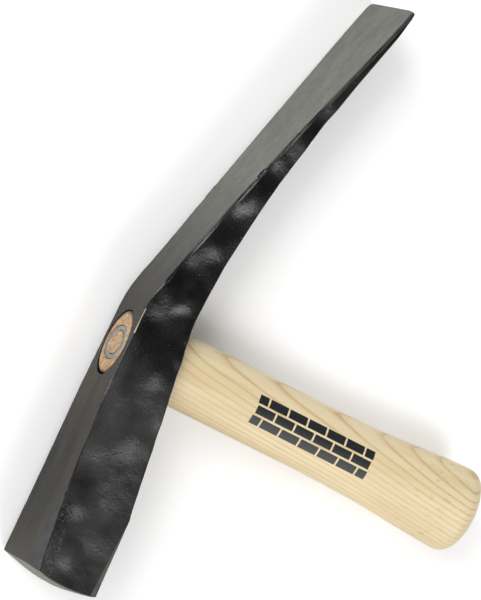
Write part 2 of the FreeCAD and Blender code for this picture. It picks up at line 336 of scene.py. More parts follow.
# %% Sort the faces by finish
# The finish goes by how far a face looks up, down, near or to the front, before the subdivision
# rounds anything off. The facets' outlines are creased too, to stay straight.
FINISHES = 5
BLACK, GROUND, FACET, CROWN, CHAMFERED = range(FINISHES)
FACETS = (FACET, CHAMFERED)
UP, NEAR, FRONT = (0, 1, 0), (0, 0, 1), (-1, 0, 0)
LEVEL, BLUNT_END, TILTED = 0.8, -0.9, 0.1
FORWARD, DOWNWARD, SIDEWAYS = 0.6, -0.25, 0.5
FINE_LEVELS = 3

for _ in range(FINISHES):
    bpy.ops.object.material_slot_add()


def give(index, test):
    """Gives the faces that pass the test the finish in that slot."""
    count = pick(head, "FACE", test)
    head.active_material_index = index
    bpy.ops.object.material_slot_assign()
    return count


def facing(face, axis):
    """How far a face looks along a direction, from -1 to 1."""
    return face.normal.dot(Vector(axis))


print("ground", give(GROUND, lambda f: facing(f, UP) > LEVEL or facing(f, FRONT) < BLUNT_END),
      "facet", give(FACET, lambda f: facing(f, UP) > LEVEL and facing(f, NEAR) > TILTED),
      "crown", give(CROWN, lambda f: facing(f, FRONT) > FORWARD),
      "chamfers", give(CHAMFERED, lambda f: facing(f, UP) < DOWNWARD
                                            and abs(facing(f, NEAR)) > SIDEWAYS
                                            and f.calc_center_median().x < NECK * MM))
pick(head, "EDGE", lambda e: len({f.material_index for f in e.link_faces}) == 2
                             and any(f.material_index in FACETS for f in e.link_faces))
bpy.ops.transform.edge_crease(value=1)
bpy.ops.object.mode_set(mode="OBJECT")
apply_modifier(head, "SUBSURF", levels=FINE_LEVELS, render_levels=FINE_LEVELS)
print("after subdivision", len(head.data.polygons), "faces")

# %% [markdown]
# ## Hammer marks
# The sides are as the hammers left them: long soft waves, a hollow between the eye and the blade, and
# a finer unevenness all over. The waves are pushed in and out one by one with proportional editing,
# which moves the skin around a point the way a blow does. The unevenness comes from a displacement
# with a cloud texture, held off the flat top and the face by a vertex group. A second group lets only
# the long top edges turn ragged.

# %% Push the skin in and out
# Where along and how high, how far out on each side, and how wide a patch follows, in millimetres.
BLOWS = [
    (-110, -20, 0.8, 10), (-108, -31, -0.6, 12), (-82, -13, 1.1, 12), (-84, -31, -0.5, 12),
    (-64, -12, -0.9, 13), (-40, -22, 1.2, 17), (-24, -6, 0.7, 10), (-34, -33, -0.6, 9),
    (-6, -20, 1.0, 12), (6, -28, 0.9, 9), (18, -31, 0.5, 7), (17, -11, -2.1, 16),
    (25, -20, -0.8, 8), (36, -6, 0.8, 9), (38, -20, 1.0, 11), (50, -14, -1.0, 11),
    (68, -19, 1.2, 12), (83, -25, -1.0, 11), (100, -27, 1.0, 12), (114, -32, -0.9, 10),
    (137, -37, 0.9, 13), (153, -43, -0.4, 10),
]
# The far cheek gets the same blows a little further along, and the blows leave these rims alone.
FAR_SHIFT = 9 * MM
RIM = 0.9 * MM
FACE_RIM = 4


def push(piece, place, move, radius):
    """Moves the corner nearest to a place, and the skin within the radius less and less."""
    mesh = bmesh.from_edit_mesh(piece.data)
    mesh.verts.ensure_lookup_table()
    points = np.array([v.co for v in mesh.verts])
    nearest = mesh.verts[int(((points - place) ** 2).sum(axis=1).argmin())]
    bpy.ops.mesh.select_all(action="DESELECT")
    nearest.select_set(True)
    bmesh.update_edit_mesh(piece.data)
    bpy.ops.transform.translate(
        value=move, use_proportional_edit=True, use_proportional_connected=False,
        proportional_edit_falloff="SMOOTH", proportional_size=radius)


only(head)
bpy.ops.object.mode_set(mode="EDIT")
bpy.ops.mesh.select_mode(type="VERT")
mesh = bmesh.from_edit_mesh(head.data)
for corner in mesh.verts:
    top, under = section_at(corner.co.x)[:2]
    on_top = corner.co.y > top - RIM
    under_face = corner.co.x < (FACE_END + FACE_RIM) * MM and corner.co.y < under + RIM
    corner.hide_set(bool(on_top or under_face))
bmesh.update_edit_mesh(head.data)
for side in (1, -1):
    shift = FAR_SHIFT if side < 0 else 0
    for along, height, out, radius in BLOWS:
        place = np.array((along * MM + shift, height * MM, side * section_at(along * MM)[2]))
        push(head, place, (0, 0, side * out * MM), radius * MM)
bpy.ops.mesh.reveal()
bpy.ops.object.mode_set(mode="OBJECT")
print("struck", 2 * len(BLOWS), "blows")


# %% Keep the unevenness off the edges
# From where to where the unevenness fades in or out: below the top, behind the face, along the blade,
# where this much of it goes, and around the top edges.
TOP_FADE = (0.3 * MM, 5 * MM)
FACE_FADE = ((FACE_END + 3) * MM, (FACE_END + 9) * MM)
BLADE_FADE = (150 * MM, 200 * MM)
BLADE_CALM = 0.7
EDGE_FADE = (0.5 * MM, 2.5 * MM)
# Name, size of the lumps and depth in millimetres, and the group that holds it in.
UNEVENNESS = (("long waves", 17, 0.55, "forged"), ("dents", 6, 0.1, "forged"),
              ("ragged edge", 6, 0.16, "edges"))


def ramp_up(values, low, high):
    """0 below low, 1 above high, and smooth between."""
    t = np.clip((values - low) / (high - low), 0, 1)
    return t * t * (3 - 2 * t)


def points_of(piece):
    """The corners of a mesh as rows of numbers."""
    points = np.zeros(len(piece.data.vertices) * 3)
    piece.data.vertices.foreach_get("co", points)
    return points.reshape(-1, 3)


def from_top_edge(points):
    """How far each point is from the nearer of the head's two long top edges."""
    top, _, half, _, _ = section_at(points[:, 0])
    ground = np.interp(points[:, 0], (FACE_END * MM, FACET_END), (FACET_DROP, 0)) * (points[:, 2] > 0)
    return np.hypot(points[:, 1] - top + ground, np.abs(points[:, 2]) - half)


def set_group(piece, name, weights):
    """Makes a vertex group with a weight for every corner."""
    group = piece.vertex_groups.new(name=name)
    for index, weight in enumerate(weights):
        group.add([index], float(weight), "REPLACE")


points = points_of(head)
below_top = ramp_up(section_at(points[:, 0])[0] - points[:, 1], *TOP_FADE)
off_face = ramp_up(points[:, 0], *FACE_FADE)
off_blade = 1 - BLADE_CALM * ramp_up(points[:, 0], *BLADE_FADE)
set_group(head, "forged", below_top * off_face * off_blade)
set_group(head, "edges", 1 - ramp_up(from_top_edge(points), *EDGE_FADE))
for name, size, depth, group in UNEVENNESS:
    cloud = bpy.data.textures.new(name, "CLOUDS")
    cloud.noise_scale = size * MM
    cloud.noise_depth = 1
    apply_modifier(head, "DISPLACE", texture=cloud, strength=depth * MM, mid_level=0.5,
                   vertex_group=group, texture_coords="LOCAL")
    bpy.data.textures.remove(cloud)

# %% Break the sharp edges
EDGE_BREAK = 0.45 * MM
EDGE_ANGLE = math.radians(38)
SLIVER = 0.002 * MM


def merge_slivers(piece):
    """Merges corners that lie on each other, which would upset the next cut."""
    only(piece)
    bpy.ops.object.mode_set(mode="EDIT")
    bpy.ops.mesh.select_mode(type="VERT")
    bpy.ops.mesh.select_all(action="SELECT")
    bpy.ops.mesh.remove_doubles(threshold=SLIVER)
    bpy.ops.mesh.dissolve_degenerate(threshold=SLIVER)
    bpy.ops.mesh.delete_loose()
    bpy.ops.object.mode_set(mode="OBJECT")


apply_modifier(head, "BEVEL", width=EDGE_BREAK, segments=2, limit_method="ANGLE",
               angle_limit=EDGE_ANGLE, use_clamp_overlap=False)
merge_slivers(head)
print("with broken edges", len(head.data.polygons), "faces")

# %% [markdown]
# ## The eye, and a flaw in the forging
# The eye is an oval hole through the head. On a real hammer it is punched and then drifted, and here
# a drift of the same shape is subtracted: an oval of four arcs that meet smoothly, with a broken
# mouth. It narrows to a throat and widens again on the handle's side. A cold shut, where a flap of
# metal folded over at the ridge, is chipped out in the same way with one rough lump.

# %% An oval drift
# Length and width of the eye at its mouth, throat and foot, and how deep each step is, in
# millimetres. The ends of an oval have this share of its width as their radius. The radius of the
# circle that it starts as doesn't matter.
EYE_MOUTH = (37.1, 26.0)
EYE_THROAT = (36.6, 25.4)
EYE_FOOT = (38.9, 27.3)
THROAT_DEEP = 12
FOOT_DEEP = 33
EYE_BREAK = 0.5 * MM
END_SHARE = 0.36
START_RADIUS = 20 * MM
SIDES = 96


def oval_ring(piece, length, width):
    """Turns a circle of corners into an oval of four arcs that meet smoothly."""
    end = END_SHARE * width
    reach = length / 2 - end
    rise = width / 2 - end
    drop = (reach ** 2 - rise ** 2) / (2 * rise)
    turn = math.atan2(drop, reach)
    for corner in piece.data.vertices:
        way = math.atan2(corner.co.z, corner.co.x)
        slant = min(abs(way), math.pi - abs(way))
        radius = end if slant < turn else drop + width / 2
        along = reach if slant < turn else 0.0
        lower = 0.0 if slant < turn else drop
        corner.co.x = math.copysign(along + radius * math.cos(slant), math.cos(way))
        corner.co.z = math.copysign(radius * math.sin(slant) - lower, math.sin(way))


def oval_stock(length, width, depth):
    """A flat oval at some depth below the top of the head, ready to be extruded."""
    bpy.ops.object.select_all(action="DESELECT")
    bpy.ops.mesh.primitive_circle_add(vertices=SIDES, radius=START_RADIUS, fill_type="NGON",
                                      rotation=(math.pi / 2, 0, 0))
    bpy.ops.object.transform_apply(location=True, rotation=True, scale=True)
    stock = bpy.context.object
    oval_ring(stock, length, width)
    only(stock)
    bpy.ops.object.mode_set(mode="EDIT")
    bpy.ops.mesh.select_all(action="SELECT")
    bpy.ops.transform.translate(value=(0, -depth, 0))
    return stock


def next_ring(up, wider, thicker, shift=0.0, place=0.0):
    """Extrudes the selected end by one step and resizes it."""
    bpy.ops.mesh.extrude_region_move(TRANSFORM_OT_translate={"value": (shift, up, 0)})
    bpy.ops.transform.resize(value=(wider, 1, thicker), center_override=(place, 0, 0))


# It starts above the head and wider than the mouth, to break the mouth's edge.
mouth_long = EYE_MOUTH[0] * MM
mouth_wide = EYE_MOUTH[1] * MM
flared_long = mouth_long + 4 * EYE_BREAK
flared_wide = mouth_wide + 4 * EYE_BREAK
drift = oval_stock(flared_long, flared_wide, -1.5 * EYE_BREAK)
next_ring(-2 * EYE_BREAK, mouth_long / flared_long, mouth_wide / flared_wide)
next_ring(-THROAT_DEEP * MM, EYE_THROAT[0] / EYE_MOUTH[0], EYE_THROAT[1] / EYE_MOUTH[1])
next_ring(-FOOT_DEEP * MM, EYE_FOOT[0] / EYE_THROAT[0], EYE_FOOT[1] / EYE_THROAT[1])
bpy.ops.mesh.select_all(action="SELECT")
bpy.ops.mesh.normals_make_consistent(inside=False)
bpy.ops.object.mode_set(mode="OBJECT")


def subtract(piece, cutter):
    """Cuts the cutter out of the piece, throws the cutter away and merges the slivers left."""
    apply_modifier(piece, "BOOLEAN", object=cutter, operation="DIFFERENCE", solver="MANIFOLD")
    bpy.data.objects.remove(cutter)
    merge_slivers(piece)


subtract(head, drift)
print("eye cut:", len(head.data.polygons), "faces")

# %% Chip out the cold shut
# Where it lies along the near top edge, the half sizes of the lump that is chipped out of it, how
# rough the lump is, how far it is turned off the edge, and how far it sits below and outside it.
SHUT_ALONG = 112.5 * MM
SHUT_SIZE = (5.2 * MM, 1.9 * MM, 1.7 * MM)
SHUT_GRAIN = 1.3 * MM
SHUT_ROUGH = 1.6 * MM
SHUT_TURN = 0.25
SHUT_BELOW = 0.6 * MM
SHUT_OUTSIDE = 0.5 * MM
SMOOTH_TURN = math.radians(40)  # faces that meet flatter than this are shaded as one surface
top, _, half, _, _ = section_at(SHUT_ALONG)
slope = math.atan2(top - section_at(SHUT_ALONG + MM)[0], MM)
bpy.ops.object.select_all(action="DESELECT")
bpy.ops.mesh.primitive_ico_sphere_add(subdivisions=4, radius=1, scale=SHUT_SIZE)
shut = bpy.context.object
bpy.ops.object.transform_apply(location=False, rotation=False, scale=True)
rough = bpy.data.textures.new("rough shut", "CLOUDS")
rough.noise_scale = SHUT_GRAIN
apply_modifier(shut, "DISPLACE", texture=rough, strength=SHUT_ROUGH, mid_level=0.5)
shut.rotation_euler = (0, 0, -slope - SHUT_TURN)
shut.location = (SHUT_ALONG, top - SHUT_BELOW, half + SHUT_OUTSIDE)
bpy.ops.object.transform_apply(location=True, rotation=True, scale=True)
subtract(head, shut)
only(head)
bpy.ops.object.shade_smooth_by_angle(angle=SMOOTH_TURN)

# %% [markdown]
# ## The handle
# The handle is turned and spokeshaved from ash: an oval that is nearly even through the grip, then
# swells to a knob so that it can't slip out of the hand. It starts as an oval at the butt, which is
# extruded from section to section up into the eye, as the CAD has it. The butt's corner is bevelled
# round, the grip is smoothed, and the slot for the ring wedge is subtracted from the end.

# %% Draw the handle from butt to eye
# Depth below the top of the head, length of the oval and its thickness, in millimetres.
HANDLE_LENGTH = (head_high.y - handle_low.y) / MM
GRIP_MIDDLE = ((handle_low.x + handle_high.x) / 2 - EYE.x) / MM
GRIP = [
    (HANDLE_LENGTH, 48.4, 34.0), (226, 48.4, 34.0), (212, 47.3, 33.2), (195, 44.4, 31.4),
    (181, 42.2, 29.9), (166, 40.4, 28.7), (140, 39.1, 27.8), (118, 38.9, 27.5), (95, 38.9, 27.4),
    (70, 38.8, 27.3), (46, 38.8, 27.2), (30, 37.6, 26.3), (13, 36.3, 25.2), (1.9, 36.3, 25.1),
    (0.9, 35.6, 24.8), (0.3, 34.2, 24.2),
]
BUTT_ROUND = 11 * MM
# Inside the head, from this depth up, the handle is centred on the eye instead of the grip.
SHOULDER = 30
TENON_MIDDLE = 0.5

handle = oval_stock(GRIP[0][1] * MM, GRIP[0][2] * MM, GRIP[0][0] * MM)
bpy.ops.transform.translate(value=(GRIP_MIDDLE * MM, 0, 0))
for (depth, length, width), (next_depth, next_length, next_width) in zip(GRIP[:-1], GRIP[1:]):
    lean = TENON_MIDDLE * MM - GRIP_MIDDLE * MM if next_depth == SHOULDER else 0.0
    middle = GRIP_MIDDLE if next_depth > SHOULDER else TENON_MIDDLE
    next_ring((depth - next_depth) * MM, next_length / length, next_width / width, lean,
              middle * MM)
bpy.ops.mesh.select_all(action="SELECT")
bpy.ops.mesh.normals_make_consistent(inside=False)
butt = -HANDLE_LENGTH * MM
pick(handle, "EDGE", lambda e: all(abs(v.co.y - butt) < TOUCH for v in e.verts))
bpy.ops.mesh.bevel(offset=BUTT_ROUND, segments=8, affect="EDGES", clamp_overlap=False)
print("handle drawn through", len(GRIP), "sections")

# %% Even out the rings and smooth the grip
RING_GAP = 5 * MM
SMOOTH_FROM = 60 * MM
SMOOTH_ROUNDS = 12
depths = sorted({depth for depth, _, _ in GRIP})
for start, stop in zip(depths[:-1], depths[1:]):
    count = max(1, round((stop - start) * MM / RING_GAP))
    for step in range(1, count):
        cut = -(start + (stop - start) * step / count) * MM
        if cut > butt + BUTT_ROUND:
            bpy.ops.mesh.select_all(action="SELECT")
            bpy.ops.mesh.bisect(plane_co=(0, cut, 0), plane_no=(0, 1, 0))
pick(handle, "VERT", lambda v: -SMOOTH_FROM > v.co.y > butt + BUTT_ROUND)
bpy.ops.mesh.vertices_smooth(factor=0.5, repeat=SMOOTH_ROUNDS, xaxis=True, yaxis=False, zaxis=True)
bpy.ops.object.mode_set(mode="OBJECT")

# %% Cut the slot for the ring wedge
RING_OUTSIDE = (ring_high.x - ring_low.x) / 2
RING_WALL = 2.75 * MM
RING_DEPTH = ring_high.y - ring_low.y
SLOT_GAP = 0.3 * MM
SLOT_FOOT = 0.6 * MM


def turned(profile, steps):
    """Spins a closed profile of (radius, height) points round the axis of the ring wedge."""
    bpy.ops.object.select_all(action="DESELECT")
    bpy.ops.mesh.primitive_circle_add(vertices=len(profile), radius=START_RADIUS,
                                      fill_type="NOTHING")
    ring = bpy.context.object
    for corner, (radius, height) in zip(ring.data.vertices, profile):
        corner.co = (radius, height, 0)
    bpy.ops.object.mode_set(mode="EDIT")
    bpy.ops.mesh.select_all(action="SELECT")
    bpy.ops.mesh.spin(steps=steps, angle=math.tau, center=(0, 0, 0), axis=(0, 1, 0))
    bpy.ops.mesh.select_all(action="SELECT")
    bpy.ops.mesh.remove_doubles(threshold=TOUCH)
    bpy.ops.mesh.normals_make_consistent(inside=False)
    bpy.ops.object.mode_set(mode="OBJECT")
    return ring


slot_out = RING_OUTSIDE + SLOT_GAP
slot_in = RING_OUTSIDE - RING_WALL - SLOT_GAP
slot_floor = -RING_DEPTH - SLOT_FOOT
slot = turned([(slot_out, MM), (slot_in, MM), (slot_in, slot_floor), (slot_out, slot_floor)], 64)
subtract(handle, slot)
only(handle)
bpy.ops.object.shade_smooth_by_angle(angle=math.radians(35))
print("handle has", len(handle.data.polygons), "faces")

# %% [markdown]
# ## The ring wedge
# A short steel ring with a tapered foot, hammered into the end grain to spread the wood. It is one
# profile spun round the handle's axis, and a small bevel takes the keenness off its corners.

# %% Spin the ring wedge
WEDGE_TOP = ring_high.y - EYE.y
TOP_ROUND = 0.35 * MM
FOOT_OUT = 8.6 * MM
FOOT_IN = 7.9 * MM
STRAIGHT = 7.7 * MM
CORNER_BREAK = 0.2 * MM
inside = RING_OUTSIDE - RING_WALL
foot = ring_low.y - EYE.y
wedge = turned([
    (inside, WEDGE_TOP - TOP_ROUND), (inside + TOP_ROUND, WEDGE_TOP),
    (RING_OUTSIDE - TOP_ROUND, WEDGE_TOP), (RING_OUTSIDE, WEDGE_TOP - TOP_ROUND),
    (RING_OUTSIDE, WEDGE_TOP - STRAIGHT), (FOOT_OUT, foot), (FOOT_IN, foot),
    (inside, WEDGE_TOP - STRAIGHT)], 72)
apply_modifier(wedge, "BEVEL", width=CORNER_BREAK, segments=2, limit_method="ANGLE",
               angle_limit=math.radians(30))
only(wedge)
bpy.ops.object.shade_smooth_by_angle(angle=SMOOTH_TURN)
print("wedge has", len(wedge.data.polygons), "faces")

# %% [markdown]
# ## Material helpers
# Each finish is a tree of nodes on one Principled shader. Short helpers keep the trees readable: they
# add nodes, ramps, mixes, sums, bands, noise and bumps. Colours are given as they would be read off
# a paint chart, from 0 to 255, and turned into the linear values of light.


# %% Node helpers
def chart(red, green, blue):
    """A colour off a chart as linear light."""
    return tuple(((c / 255 + 0.055) / 1.055) ** 2.4 if c > 10 else c / 255 / 12.92
                 for c in (red, green, blue)) + (1.0,)


def add(tree, kind, inputs=None, **settings):
    """Adds a shader node. Inputs are sockets to wire or values to set."""
    made = tree.nodes.new("ShaderNode" + kind)
    for name, value in settings.items():
        setattr(made, name, value)
    for name, value in (inputs or {}).items():
        if isinstance(value, bpy.types.NodeSocket):
            tree.links.new(value, made.inputs[name])
        else:
            made.inputs[name].default_value = value
    return made


def ramp(tree, factor, *stops):
    """A colour ramp through (place, colour) stops, with a plain number as a grey."""
    made = add(tree, "ValToRGB", {"Fac": factor})
    made.color_ramp.elements.remove(made.color_ramp.elements[1])
    for index, (place, colour) in enumerate(stops):
        stop = made.color_ramp.elements[0] if index == 0 else made.color_ramp.elements.new(place)
        stop.position = place
        stop.color = colour if isinstance(colour, tuple) else (colour, colour, colour, 1.0)
    return made.outputs["Color"]


def blend(tree, factor, under, over, kind="MIX"):
    """Mixes two colours."""
    made = add(tree, "Mix", {0: factor, 6: under, 7: over}, data_type="RGBA", blend_type=kind)
    return made.outputs[2]


def sum_up(tree, kind, *values):
    """One math node on one to three values."""
    return add(tree, "Math", dict(enumerate(values)), operation=kind).outputs[0]


def in_band(tree, value, middle, half):
    """1 within half of the middle, 0 outside."""
    return sum_up(tree, "COMPARE", value, middle, half)


def noise(tree, where, pitch, detail=2.0, stretch=(1, 1, 1), rough=0.5):
    """Noise whose blobs are about that many metres apart, stretched along an axis if asked."""
    scaled = add(tree, "Mapping", {"Vector": where, "Scale": [1 / (pitch * s) for s in stretch]})
    return add(tree, "TexNoise", {"Vector": scaled.outputs[0], "Scale": 1.0, "Detail": detail,
                                  "Roughness": rough}).outputs["Fac"]


def new_finish(name, roughness, metallic=0.0):
    """A material with its tree, its shader and coordinates that start at the eye."""
    material = bpy.data.materials.new(name)
    material.use_nodes = True
    tree = material.node_tree
    shader = tree.nodes["Principled BSDF"]
    shader.inputs["Roughness"].default_value = roughness
    shader.inputs["Metallic"].default_value = metallic
    home = add(tree, "TexCoord").outputs["Object"]
    where = add(tree, "Mapping", {"Vector": home, "Location": -EYE}).outputs[0]
    return material, tree, shader, where


def roughen(tree, shader, *layers):
    """Chains bump nodes, each with a height and a depth in metres."""
    normal = None
    for height, depth in layers:
        inputs = {"Height": height, "Distance": depth, "Strength": 1.0}
        if normal is not None:
            inputs["Normal"] = normal
        normal = add(tree, "Bump", inputs).outputs[0]
    tree.links.new(normal, shader.inputs["Normal"])


# %% [markdown]
# ## Steel in four states
# The sides are still in their black forge lacquer: deep, a little glossy and pimpled by the scale
# under it, with a lighter colour towards the face that is a painted sheen. The top was run over a
# belt, which left long fine lines and brown by the eye where heat and oil got at it; its colour is
# darker on the bar and a lighter grey green on the blade, painted light for how its parts are tilted.
# The striking face, the facet and the chamfers are bare. The distance from the long top edges is
# stored on the mesh, as a share of a centimetre, for the painted highlight, the painted shadow line
# and the crease along the ridge to follow.

# %% Store the distance from the edges
EDGE_REACH = 10 * MM

shares = np.clip(from_top_edge(points_of(head)) / EDGE_REACH, 0, 1)
stored = head.data.attributes.new("from_top_edge", "FLOAT", "POINT")
stored.data.foreach_set("value", shares.astype(np.float32))
print("stored", len(shares), "distances")


# %% Black forge lacquer
# Where the painted highlight beside the eye lies, half its length, and the size of the wrinkles.
EYE_HIGHLIGHT_ALONG = 15 * MM
EYE_HIGHLIGHT_HALF = 7 * MM
SQUIGGLE = 2.6 * MM


def black_lacquer():
    """Glossy and deep black on the shank; satin, wrinkled and lighter in colour towards the face as a
    painted sheen; a painted highlight and a painted shadow line at the ridge.
    """
    material, tree, shader, where = new_finish("black_forge_lacquer", 0.3)
    # The stored distance from the long top edges, which is 1 at a centimetre or more.
    edge = add(tree, "Attribute", attribute_name="from_top_edge").outputs["Fac"]
    along = add(tree, "SeparateXYZ", {"Vector": where}).outputs["X"]
    # Deep black turns to satin from the eye towards the striking face, and its colour lightens there
    # as a painted sheen.
    cloudy = noise(tree, where, 22 * MM, 3.0)
    specks = noise(tree, where, 1.2 * MM, 1.0)
    deep = ramp(tree, cloudy, (0.3, chart(4, 4, 5)), (0.7, chart(10, 10, 10)))
    satin_painted_sheen = ramp(tree, cloudy, (0.35, chart(12, 12, 13)), (0.65, chart(44, 44, 43)))
    by_bar = ramp(tree, sum_up(tree, "MULTIPLY_ADD", along, -10.0, 0.0), (0.0, 0.0), (0.25, 1.0))
    colour = blend(tree, by_bar, deep, satin_painted_sheen)
    # Grey specks, and a painted shadow line along the ground edge on the face half.
    colour = blend(tree, ramp(tree, specks, (0.75, 0.0), (0.79, 1.0)), colour, chart(74, 74, 70))
    ridge_shadow_line = ramp(tree, edge, (0.05, 1.0), (0.1, 0.0))
    colour = blend(tree, blend(tree, 1.0, ridge_shadow_line, by_bar, "MULTIPLY"), colour, chart(5, 5, 5))
    # A painted highlight just off the shank's ridge, broken here and there, and another painted
    # highlight in a sliver by the eye.
    highlight_breaks = ramp(tree, noise(tree, where, 10 * MM, 3.0, (4, 1, 1)), (0.4, 0.0), (0.56, 1.0))
    shank = ramp(tree, sum_up(tree, "MULTIPLY_ADD", along, 4.0, 0.1), (0.25, 0.0), (0.3, 1.0))
    line = ramp(tree, edge, (0.035, 0.0), (0.05, 0.8), (0.07, 0.8), (0.09, 0.0))
    ridge_highlight = blend(tree, 1.0, line, blend(tree, 1.0, highlight_breaks, shank, "MULTIPLY"), "MULTIPLY")
    colour = blend(tree, ridge_highlight, colour, chart(118, 118, 110))
    eye_highlight = sum_up(tree, "MULTIPLY", ramp(tree, edge, (0.02, 1.0), (0.06, 1.0), (0.09, 0.0)),
                    in_band(tree, along, EYE_HIGHLIGHT_ALONG, EYE_HIGHLIGHT_HALF))
    colour = blend(tree, eye_highlight, colour, chart(158, 154, 140))
    tree.links.new(colour, shader.inputs["Base Color"])
    shine = ramp(tree, noise(tree, where, 12 * MM, 4.0), (0.3, 0.27), (0.7, 0.36))
    tree.links.new(blend(tree, by_bar, shine, (0.36, 0.36, 0.36, 1)), shader.inputs["Roughness"])
    # The bumps: a crease behind the edge, a leathery grain, pimples, and wrinkles by the face.
    crease = ramp(tree, edge, (0.06, 1.0), (0.11, 0.0), (0.14, 0.0), (0.22, 1.0))
    crease = blend(tree, shank, (1, 1, 1, 1), crease)
    pimples = ramp(tree, noise(tree, where, 1.5 * MM, 2.0), (0.5, 0.0), (0.75, 1.0))
    by_face = ramp(tree, sum_up(tree, "MULTIPLY_ADD", along, -20.0, -1.7), (0.0, 0.0), (0.3, 1.0))
    close = ramp(tree, edge, (0.3, 1.0), (0.8, 0.0))
    squiggles = add(tree, "TexNoise", {"Vector": where, "Scale": 1 / SQUIGGLE, "Detail": 1.0,
                                       "Distortion": 1.6}).outputs["Fac"]
    wrinkled = blend(tree, 1.0, blend(tree, 1.0, by_face, close, "MULTIPLY"),
                     ramp(tree, squiggles, (0.38, 0.0), (0.5, 1.0)), "MULTIPLY")
    roughen(tree, shader, (crease, 0.4 * MM), (noise(tree, where, 6 * MM, 2.0), 0.09 * MM),
            (noise(tree, where, 2.0 * MM, 1.0), 0.05 * MM), (pimples, 0.045 * MM),
            (wrinkled, 1.1 * MM))
    return material


# %% Belt-ground top
def ground_top():
    """Zones from the face to the blade's edge, darker on the bar and lighter on the blade as painted
    light, with belt lines, brown stains and small pits.
    """
    material, tree, shader, where = new_finish("belt_ground_steel", 0.5, 0.2)
    shader.inputs["Specular IOR Level"].default_value = 0.3
    along = add(tree, "SeparateXYZ", {"Vector": where}).outputs["X"]
    # 0 at the striking face and 1 at the blade's edge.
    place = sum_up(tree, "MULTIPLY_ADD", along, 1 / ((BLADE_END - FACE_END) * MM),
                   -FACE_END / (BLADE_END - FACE_END))
    # The tone darkens over the bar and lightens from the bend onto the blade: painted light for how
    # the top tilts, over the steel's own tones.
    tone_and_painted_light = ramp(tree, place, (0.0, chart(44, 43, 40)), (0.2, chart(34, 33, 32)),
                 (0.33, chart(54, 50, 44)), (0.43, chart(52, 50, 45)), (0.48, chart(62, 61, 57)),
                 (0.56, chart(82, 82, 77)), (0.68, chart(106, 107, 100)), (1.0, chart(102, 103, 96)))
    brown = ramp(tree, noise(tree, where, 11 * MM, 3.0, (6, 1, 1)), (0.42, 0.0), (0.62, 0.6))
    by_bar = ramp(tree, place, (0.38, 1.0), (0.5, 0.0))
    tone_and_painted_light = blend(tree, blend(tree, 1.0, brown, by_bar, "MULTIPLY"), tone_and_painted_light, chart(62, 55, 43))
    lines = noise(tree, where, 1.1 * MM, 3.0, (60, 1, 1), 0.6)
    broad = noise(tree, where, 7 * MM, 3.0, (8, 1, 1))
    colour = blend(tree, 0.8, tone_and_painted_light, ramp(tree, lines, (0.3, 0.62), (0.7, 1.0)), "MULTIPLY")
    colour = blend(tree, 0.7, colour, ramp(tree, broad, (0.35, 0.72), (0.65, 1.0)), "MULTIPLY")
    pits = ramp(tree, noise(tree, where, 2.6 * MM, 1.0), (0.76, 0.0), (0.8, 1.0))
    colour = blend(tree, pits, colour, chart(40, 38, 34))
    tree.links.new(colour, shader.inputs["Base Color"])
    roughen(tree, shader, (noise(tree, where, 0.5 * MM, 2.0, (50, 1, 1)), 0.04 * MM),
            (noise(tree, where, 9 * MM, 3.0, (3, 1, 1)), 0.25 * MM),
            (sum_up(tree, "SUBTRACT", 1.0, pits), 0.1 * MM))
    return material


# %% Bare striking face, facet and chamfers
def bare_steel(name, dark, light, rough, metallic):
    """Bare steel with cloudy tones and fine scratches across it."""
    material, tree, shader, where = new_finish(name, rough, metallic)
    colour = ramp(tree, noise(tree, where, 6 * MM, 4.0), (0.3, dark), (0.7, light))
    scratches = noise(tree, where, 0.6 * MM, 2.0, (1, 30, 1))
    colour = blend(tree, 0.6, colour, ramp(tree, scratches, (0.3, 0.75), (0.7, 1.0)), "MULTIPLY")
    tree.links.new(colour, shader.inputs["Base Color"])
    roughen(tree, shader, (scratches, 0.03 * MM), (noise(tree, where, 4 * MM, 3.0), 0.12 * MM))
    return material


finishes = (black_lacquer(), ground_top(),
            bare_steel("ground_facet", chart(46, 47, 49), chart(62, 62, 63), 0.5, 0.4),
            bare_steel("bare_striking_face", chart(78, 75, 66), chart(102, 98, 86), 0.5, 0.4),
            bare_steel("filed_chamfer", chart(62, 62, 57), chart(84, 84, 77), 0.5, 0.3))
for slot, finish in zip(head.material_slots, finishes):
    slot.material = finish
carry_home(head, "forged_hammer_head", "hammer_head")

# %% [markdown]
# ## Ash
# Ash shows its growth rings as soft tan lines, with open pores in the early wood on one side of
# each line. The rings are made as shells round a pith that lies outside the handle and leans a
# little, so they run along the grip, wander off its edge and turn up again as arcs on the end grain.
# The eye end is darker at its rim, a painted shade of the gap between the wood and the eye. The grip
# carries a dark printed band of paving bond, which stands for the maker's print.


# %% Ash with its rings and pores
# How far the pith is from the eye across and behind it, how it leans, how far the rings wander off
# it, and how far apart they are.
PITH_ACROSS = 56 * MM
PITH_BEHIND = 60 * MM
PITH_LEAN = -0.085
WANDER = 5 * MM
RING_PITCH = 2.6 * MM


